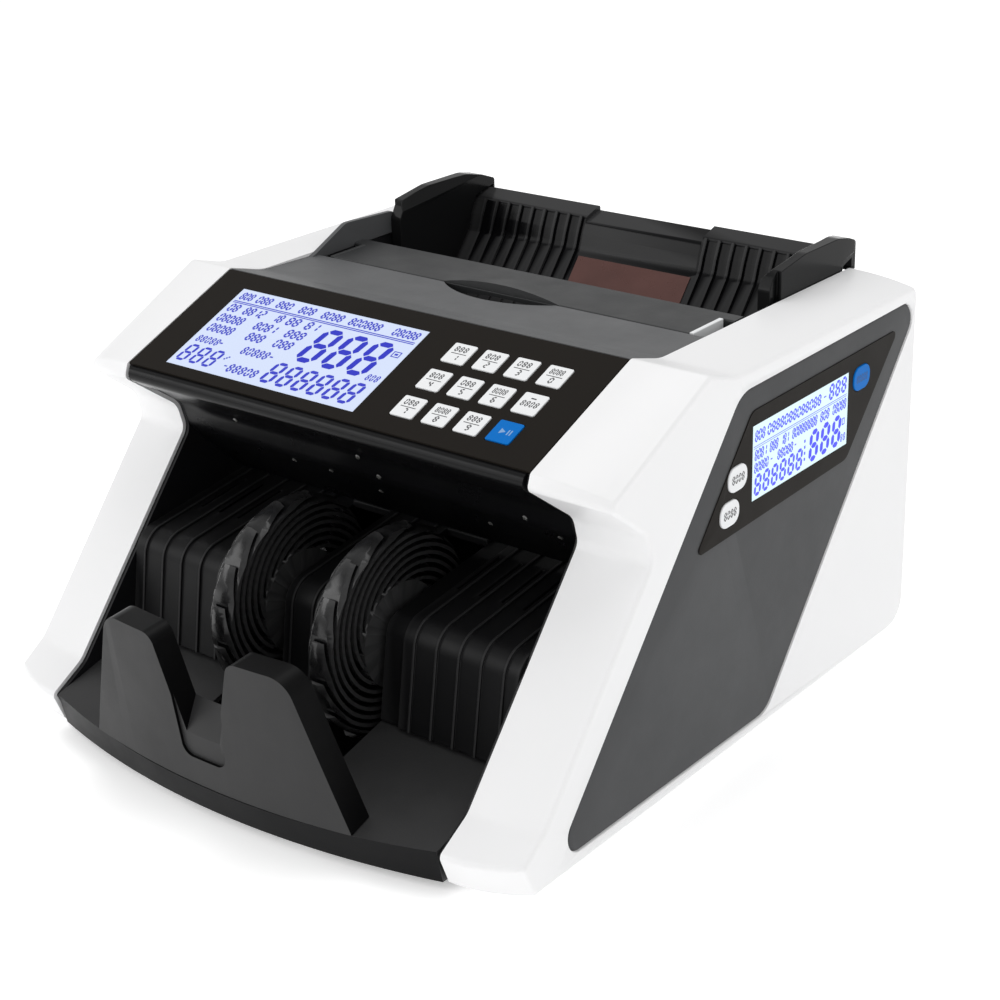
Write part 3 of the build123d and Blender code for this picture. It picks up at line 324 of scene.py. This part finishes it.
# ------------------------------------------------------------------ displays and prints
# All sizes and places here are in millimetres.
PANEL_FRONT, PANEL_RIDGE = (-84.8, 147.2), (-22.0, 171.8)       # (y, z) of the panel's lower and upper edge
PANEL_ANGLE = math.atan2(PANEL_RIDGE[1] - PANEL_FRONT[1], PANEL_RIDGE[0] - PANEL_FRONT[0])
MAIN_LCD_CORNER = (-88.0, 6.2)          # (u, v) on the panel
MAIN_PRINT_HEIGHT = -0.14               # from the panel's face; the display's is at -0.2
SIDE_LCD_CORNER = (14.2, 108.0)         # (u, v) on the side
INLAY_FACE = 135.8                      # x of the side inlay's outer face
SIDE_PRINT_HEIGHT = 0.28                # from the inlay's face; the side display's is at 0.25
SIDE_BUTTON_PROUD = 0.9                 # from the inlay's face
KEY_COLUMNS, KEY_ROWS, KEY_PROUD = (36.0, 51.4, 66.8, 82.2), (48.9, 32.3, 15.7), 0.4
SEGMENT_HALF, PRINT_HALF = 0.03, 0.02   # half thicknesses of display segments and of key prints
PRINT_LIFT = 0.01                       # of a key print's middle above its key
MAIN_LEAN, SIDE_LEAN, BUTTON_LEAN = 0.14, 0.1, 0.08     # of the numerals, sideways per height
BAR_GAP = 0.18                          # left free at each end of a bar, as a share of its thickness
THICKEST_BAR = 0.32                     # as a share of the numeral's width


def on_panel(u, v, h):
    """Point on the control panel: u across, v up its slope, h above it."""
    y = PANEL_FRONT[0] + v * math.cos(PANEL_ANGLE) - h * math.sin(PANEL_ANGLE)
    z = PANEL_FRONT[1] + v * math.sin(PANEL_ANGLE) + h * math.cos(PANEL_ANGLE)
    return Vector((u, y + SHIFT_Y, z)) * MM


def on_side(u, v, h):
    """Point on the right side: u towards the back, v up, h above the inlay."""
    return Vector((INLAY_FACE + h, u + SHIFT_Y, v)) * MM


def at(surface, u0, v0, h0):
    """Placing on a surface, measured from one of its points."""
    return lambda u, v, h: surface(u0 + u, v0 + v, h0 + h)


SEGMENTS = {
    "0": "abcdef", "1": "bc", "2": "abged", "3": "abgcd", "4": "fgbc", "5": "afgcd", "6": "afgedc",
    "7": "abc", "8": "abcdefg", "9": "abcdfg",
}


def digit(char, x, y, w, h, t, lean):
    """Seven-segment numeral at x, y: width w, height h, pointed bars of thickness t, leaning right."""
    gap = t * BAR_GAP
    half = h / 2
    r = t / 2
    bars = []

    def level(x0, x1, yy):
        bars.append([(x0 + gap, yy), (x0 + gap + r, yy + r), (x1 - gap - r, yy + r), (x1 - gap, yy),
                     (x1 - gap - r, yy - r), (x0 + gap + r, yy - r)])

    def upright(xx, y0, y1):
        bars.append([(xx, y0 + gap), (xx + r, y0 + gap + r), (xx + r, y1 - gap - r), (xx, y1 - gap),
                     (xx - r, y1 - gap - r), (xx - r, y0 + gap + r)])

    spots = {
        "a": (level, r, w - r, h - r), "g": (level, r, w - r, half), "d": (level, r, w - r, r),
        "f": (upright, r, half, h - r), "b": (upright, w - r, half, h - r),
        "e": (upright, r, r, half), "c": (upright, w - r, r, half),
    }
    for segment in SEGMENTS[char]:
        draw, *ends = spots[segment]
        draw(*ends)
    return [[(x + px + lean * py, y + py) for px, py in shape] for shape in bars]


def digits(text, x, y, w, h, t, pitch, lean=MAIN_LEAN):
    """Row of seven-segment numerals; narrow ones keep their bars apart."""
    t = min(t, THICKEST_BAR * w)
    shapes = []
    for i, char in enumerate(text):
        shapes += digit(char, x + i * pitch, y, w, h, t, lean)
    return shapes


def words(groups, y, h, t, share, lean):
    """Line of groups of numerals, each (text, x, width); a numeral takes a share of its pitch."""
    shapes = []
    for text, x, width in groups:
        pitch = width / len(text)
        shapes += digits(text, x, y, pitch * share, h, t, pitch, lean)
    return shapes


def bar(x0, y0, x1, y1):
    return [(x0, y0), (x1, y0), (x1, y1), (x0, y1)]


def triangle(x, y, r):
    """Triangle pointing right."""
    return [(x + r * math.cos(a), y + r * math.sin(a)) for a in (0, math.tau / 3, 2 * math.tau / 3)]


def main_display():
    """Numerals of the main display: four lines of small groups, a double rule and larger counters.

    Places are from the display's lower left corner.
    """
    share = 0.86
    heading = (("808", 2.2, 7.4), ("088", 11.6, 8.4), ("880", 23.2, 8.6), ("808", 36.0, 8.6),
               ("8088", 48.6, 11.6), ("800888", 63.6, 17.0), ("08088", 87.0, 13.4))
    lines = {
        36.2: (("08", 2.0, 6.0), ("8812", 11.0, 12.0), ("18", 27.8, 5.6), ("88", 35.6, 7.2),
               ("81", 46.0, 7.4)),
        29.4: (("08088", 2.0, 14.4), ("8081", 23.0, 12.4), ("888", 40.6, 10.4)),
        22.6: (("08088", 2.4, 14.0), ("888", 24.4, 9.6), ("088", 40.0, 9.8)),
    }
    thin = words(heading, 44.4, 4.8, 0.8, share, MAIN_LEAN)
    for y, groups in lines.items():
        thin += words(groups, y, 5.2, 0.85, share, MAIN_LEAN)
    # rules below the heading, and dashes beside the small counters
    thin += [bar(1.5, 42.9, 101.0, 43.35), bar(1.5, 42.0, 101.0, 42.4)]
    thin += [bar(15.6, 17.3, 17.2, 18.0), bar(44.6, 16.7, 46.2, 17.4), bar(28.4, 6.0, 29.8, 6.6)]
    thin += [bar(24.8 + d, 9.4 + d, 25.6 + d, 10.1 + d) for d in (0.0, 0.8, 1.6)]
    # small outlined mark at the right
    thin += [bar(96.0, 33.0, 96.4, 36.4), bar(99.6, 33.0, 100.0, 36.4), bar(96.5, 33.0, 99.5, 33.4),
             bar(96.5, 36.0, 99.5, 36.4), bar(97.2, 34.2, 98.8, 35.2)]
    # counters: text, x, y, width, height, bar thickness, pitch
    for counter in (("88088", 2.6, 15.4, 1.9, 4.2, 0.7, 2.6), ("80888", 29.0, 14.6, 2.3, 4.8, 0.9, 3.0),
                    ("88808", 30.6, 3.4, 2.6, 5.0, 0.95, 3.3), ("888", 2.0, 3.0, 5.4, 10.6, 1.25, 7.3),
                    ("808", 94.4, 17.6, 1.6, 3.8, 0.5, 2.3), ("888888", 49.4, 2.8, 6.4, 12.8, 1.6, 8.3)):
        thin += digits(*counter)
    bold = digits("888", 55.0, 18.4, 10.6, 21.6, 2.8, 13.4)
    place = at(on_panel, *MAIN_LCD_CORNER, MAIN_PRINT_HEIGHT)
    plates("main_lcd_counters", bold, place, "casing", "segment", SEGMENT_HALF)
    plates("main_lcd_numerals", thin, place, "casing", "segment_thin", SEGMENT_HALF)


def side_display():
    """Numerals of the side display. Places are from its lower front corner."""
    share = 0.88
    heading = (("808", 1.6, 7.6), ("0888088088088", 10.6, 41.0))
    upper = (("8081", 1.6, 9.0), ("888", 12.6, 6.4), ("181", 21.0, 6.0), ("808888888", 29.4, 19.4),
             ("808", 51.0, 7.4), ("08088", 60.8, 11.0))
    lower = (("80880", 1.4, 10.6), ("88088", 18.4, 12.0))
    thin = words(heading, 24.2, 4.8, 0.85, share, SIDE_LEAN)
    thin += words(upper, 16.4, 4.6, 0.85, share, SIDE_LEAN)
    thin += words(lower, 11.2, 4.4, 0.85, share, SIDE_LEAN)
    # dashes, rules below the heading, and the column of dots between the counters
    thin += [bar(53.6, 26.4, 55.4, 26.9), bar(13.6, 13.2, 14.8, 13.7), bar(31.6, 13.2, 32.8, 13.7)]
    thin += [bar(1.0, 22.4, 72.0, 22.65), bar(1.0, 21.6, 72.0, 21.8)]
    thin += [bar(39.0, 4.0 + 2.6 * i, 40.0, 5.2 + 2.6 * i) for i in range(4)]
    # small outlined mark at the right
    thin += [bar(69.0, 9.6, 71.0, 10.0), bar(69.0, 12.2, 71.0, 12.6), bar(69.0, 10.0, 69.4, 12.2),
             bar(70.6, 10.0, 71.0, 12.2)]
    # counters: text, x, y, width, height, bar thickness, pitch
    for counter in (("888", 57.4, 23.8, 4.0, 6.8, 1.15, 4.9), ("888888", 1.4, 1.5, 5.0, 8.9, 1.4, 6.2),
                    ("88", 68.0, 2.4, 1.5, 3.4, 0.45, 2.2)):
        thin += digits(*counter, SIDE_LEAN)
    bold = digits("888", 42.4, 1.7, 7.2, 13.4, 2.2, 8.9, SIDE_LEAN)
    place = at(on_side, *SIDE_LCD_CORNER, SIDE_PRINT_HEIGHT)
    plates("side_lcd_counters", bold, place, "casing", "segment_side", SEGMENT_HALF)
    plates("side_lcd_numerals", thin, place, "casing", "segment_side_thin", SEGMENT_HALF)


def numeral_key_shapes(r, c):
    """Numeral, rule and small mark of a key. Places are from the key's middle."""
    mark = ("888", "808", "088", "8088")[(r + c) % 4]
    pitch = 6.6 / len(mark)
    shapes = digits(("1230", "456", "789")[r][c], -1.1, -4.3, 2.0, 3.4, 0.62, 2.2, SIDE_LEAN)
    shapes += digits(mark, -3.5, 0.75, pitch * 0.78, 3.2, 0.62, pitch, SIDE_LEAN)
    shapes.append(bar(-3.7, -0.45, 3.7, -0.1))
    return shapes


def key_prints():
    """Print on each key: the last one of the lowest row has a start mark, the one above it a word."""
    start = [triangle(-1.2, 0.0, 1.7), bar(1.4, -1.4, 2.0, 1.4), bar(2.6, -1.4, 3.2, 1.4)]
    word = [bar(-1.2, 2.5, 1.2, 3.1)] + digits("8808", -3.9, -1.9, 1.5, 3.2, 0.6, 2.05)
    for r, v in enumerate(KEY_ROWS):
        for c, u in enumerate(KEY_COLUMNS):
            body = f"key_{r + 1}_{c + 1}_body"
            place = at(on_panel, u, v, KEY_PROUD + PRINT_LIFT)
            if (r, c) == (2, 3):
                plates("start_mark", start, place, body, "print_pale", PRINT_HALF)
                continue
            shapes = word if (r, c) == (1, 3) else numeral_key_shapes(r, c)
            plates(f"key_print_{r + 1}_{c + 1}", shapes, place, body, "print_dark", PRINT_HALF)


def side_prints():
    """Print on each button of the side."""
    upper = digits("8008", -4.4, -1.8, 1.8, 3.6, 0.62, 2.25, BUTTON_LEAN)
    lower = digits("8088", -4.4, -1.8, 1.8, 3.6, 0.62, 2.25, BUTTON_LEAN)
    blue = digits("80808", -4.5, -1.7, 1.4, 3.4, 0.55, 1.8, BUTTON_LEAN)
    for name, (u, v), shapes, key in (("side_button_upper", (3.4, 122.0), upper, "print_dark"),
                                      ("side_button_lower", (-2.0, 109.0), lower, "print_dark"),
                                      ("side_button_blue", (97.6, 134.2), blue, "print_blue")):
        place = at(on_side, u, v, SIDE_BUTTON_PROUD + PRINT_LIFT)
        plates(name + "_print", shapes, place, name + "_body", key, PRINT_HALF)


main_display()
side_display()
key_prints()
side_prints()

# ------------------------------------------------------------------ CAD nodes rebuilt
# Width in millimetres of each node's edge rounding. Faces with holes or spirals break when they are
# rounded, so those nodes have 0.
SOFTEN = {
    "stacker_hood": 0.25, "note_stopper": 1.2, "feed_lid": 0.5, "lid_end_strips": 0.3, "hopper_bed": 0.25,
    "left_note_guide": 0.5, "right_note_guide": 0.5, "top_cover": 0.35, "panel_overlay": 0.12,
    "panel_housing": 0.4, "front_visor": 0.3, "stacker_tray": 0.5, "left_side_frame": 0.3,
    "right_side_frame": 0.3, "rear_cover": 0.0, "bottom_pan": 0.0, "rubber_feet": 0.3, "wear_plate": 0.1,
    "right_inlay": 0.0, "left_inlay": 0.25, "side_overlay": 0.0, "power_inlet": 0.0, "rocker_switch": 0.3,
    "case_screws": 0.12, "impeller_wheel_left": 0.0, "impeller_wheel_right": 0.0, "feed_rollers": 0.4,
    "pickup_rollers": 0.4, "left_side_cover": 0.0, "right_side_cover": 0.0,
}
for r in range(len(KEY_ROWS)):
    for c in range(len(KEY_COLUMNS)):
        SOFTEN[f"key_{r + 1}_{c + 1}"] = 0.2
for node, width in SOFTEN.items():
    soften(node, width)

FRONT_NORMAL = -0.6         # a face is turned to the front where its normal's y is below this
# The top cover's pocket below the lid's grip, in millimetres. The cover's large upper face crosses it,
# and is kept out by its area, in square metres.
POCKET_HALF_WIDTH, POCKET_Y, POCKET_Z = 31.0, (12.0, 34.0), (150.0, 162.5)
POCKET_FACE = 3e-3


def in_finger_pocket(face):
    """Whether a face of the top cover is in its pocket."""
    x, y, z = face.center / MM
    inside = POCKET_Y[0] < y - SHIFT_Y < POCKET_Y[1] and POCKET_Z[0] < z < POCKET_Z[1]
    return inside and abs(x) < POCKET_HALF_WIDTH and face.area < POCKET_FACE


def second_finish(node, key, chosen):
    """Gives the chosen faces of a rebuilt node a second material."""
    mesh = bpy.data.objects[node + "_piece"].data
    mesh.materials.append(MATERIALS[key])
    for face in mesh.polygons:
        if chosen(face):
            face.material_index = 1


second_finish("note_stopper", "stopper_rim", lambda face: face.normal.y > FRONT_NORMAL)
second_finish("stacker_tray", "tray_lip", lambda face: face.normal.y < FRONT_NORMAL)
second_finish("lid_end_strips", "lid", lambda face: face.center.x < 0)
second_finish("top_cover", "hopper", in_finger_pocket)


def ring(radius, height, count):
    """Corners of a circle about the z axis, from millimetres to metres."""
    angles = [math.tau * i / count for i in range(count)]
    return [Vector((radius * math.cos(a), radius * math.sin(a), height)) * MM for a in angles]


def visor_lenses():
    """Small domes for the sensor lenses and screw heads in the visor above the impeller wheels."""
    spots = (
        (-71.0, -63.0, 118.7), (-3.0, -63.0, 118.0), (5.7, -57.0, 112.0), (79.6, -57.5, 112.6),
        (-45.5, -51.6, 106.0), (-24.8, -51.5, 106.0), (92.5, -51.6, 106.0), (-3.0, -46.0, 100.0),
        (54.0, -46.0, 100.0),
    )
    profile = ((1.15, -0.1), (1.15, 0.18), (0.95, 0.34), (0.5, 0.46))       # (radius, height) in mm
    count = 20
    source = NODES["front_visor"].data
    surface = BVHTree.FromPolygons([v.co for v in source.vertices], [f.vertices for f in source.polygons])
    bm = bmesh.new()
    for x, y, z in spots:
        place, normal, _, _ = surface.find_nearest(Vector((x, y + SHIFT_Y, z)) * MM)
        tilt = normal.to_track_quat("Z", "Y")
        loops = [[bm.verts.new(place + tilt @ corner) for corner in ring(radius, height, count)]
                 for radius, height in profile]
        for low, high in zip(loops, loops[1:]):
            for i in range(count):
                j = (i + 1) % count
                bm.faces.new((low[i], low[j], high[j], high[i]))
        bm.faces.new(loops[-1])
        bm.faces.new(list(reversed(loops[0])))
    mesh = bpy.data.meshes.new("visor_lenses")
    bm.to_mesh(mesh)
    bm.free()
    link("visor_lenses", mesh, "casing", "dot", smooth=40)


visor_lenses()

# ------------------------------------------------------------------ floor, light, camera
FLOOR_HALF = 30.0       # metres
FLOOR_WHITE, FLOOR_ROUGHNESS, FLOOR_GLOW = (0.97, 0.97, 0.97, 1), 0.8, 0.34
WORLD_STRENGTH = 0.66
LIGHTS = (              # name, place and aim in metres, size, watts
    ("key_light", (-1.2, -1.4, 0.9), (0, 0, 0.05), (1.2, 1.0), 9),
    ("side_light", (1.8, -0.5, 1.0), (0, 0, 0.08), (1.2, 1.0), 2),
    ("top_light", (0.2, 0.3, 2.0), (0, 0, 0.1), (1.6, 1.2), 12),
)
AZIMUTH, ELEVATION, ROLL = math.radians(39.01), math.radians(23.37), math.radians(-1.86)
CAMERA_PLACE = (0.53179, -0.62922 + SHIFT_Y * MM, 0.43610)
LENS, SENSOR = 75.865, 36.0             # mm
CLIP = (0.05, 20.0)                     # metres


def stage_floor():
    bm = bmesh.new()
    bmesh.ops.create_grid(bm, x_segments=1, y_segments=1, size=FLOOR_HALF)
    mesh = bpy.data.meshes.new("floor")
    bm.to_mesh(mesh)
    bm.free()
    floor = bpy.data.objects.new("floor", mesh)
    bpy.context.scene.collection.objects.link(floor)
    m, _, bsdf = new_material("floor_white")
    bsdf.inputs["Base Color"].default_value = FLOOR_WHITE
    bsdf.inputs["Roughness"].default_value = FLOOR_ROUGHNESS
    bsdf.inputs["Emission Color"].default_value = (1, 1, 1, 1)
    bsdf.inputs["Emission Strength"].default_value = FLOOR_GLOW
    mesh.materials.append(m)


def area_light(name, place, aim, size, power):
    data = bpy.data.lights.new(name, "AREA")
    data.shape = "RECTANGLE"
    data.size, data.size_y = size
    data.energy = power
    lamp = bpy.data.objects.new(name, data)
    lamp.location = place
    lamp.rotation_mode = "QUATERNION"
    lamp.rotation_quaternion = (Vector(aim) - Vector(place)).to_track_quat("-Z", "Y")
    bpy.context.scene.collection.objects.link(lamp)


def white_world():
    world = bpy.data.worlds.new("studio")
    world.use_nodes = True
    background = world.node_tree.nodes["Background"]
    background.inputs["Color"].default_value = (1, 1, 1, 1)
    background.inputs["Strength"].default_value = WORLD_STRENGTH
    bpy.context.scene.world = world
    bpy.context.scene.view_settings.view_transform = "Standard"


def photo_camera():
    """Camera at the photo's viewpoint."""
    back = Vector((math.sin(AZIMUTH) * math.cos(ELEVATION), -math.cos(AZIMUTH) * math.cos(ELEVATION),
                   math.sin(ELEVATION)))
    camera = bpy.data.objects.new("camera", bpy.data.cameras.new("camera"))
    camera.data.lens = LENS
    camera.data.sensor_width = SENSOR
    camera.data.clip_start, camera.data.clip_end = CLIP
    camera.location = CAMERA_PLACE
    camera.rotation_mode = "QUATERNION"
    roll = Matrix.Rotation(ROLL, 3, back)
    camera.rotation_quaternion = roll.to_quaternion() @ (-back).to_track_quat("-Z", "Y")
    bpy.context.scene.collection.objects.link(camera)
    bpy.context.scene.camera = camera


stage_floor()
for light in LIGHTS:
    area_light(*light)
white_world()
photo_camera()
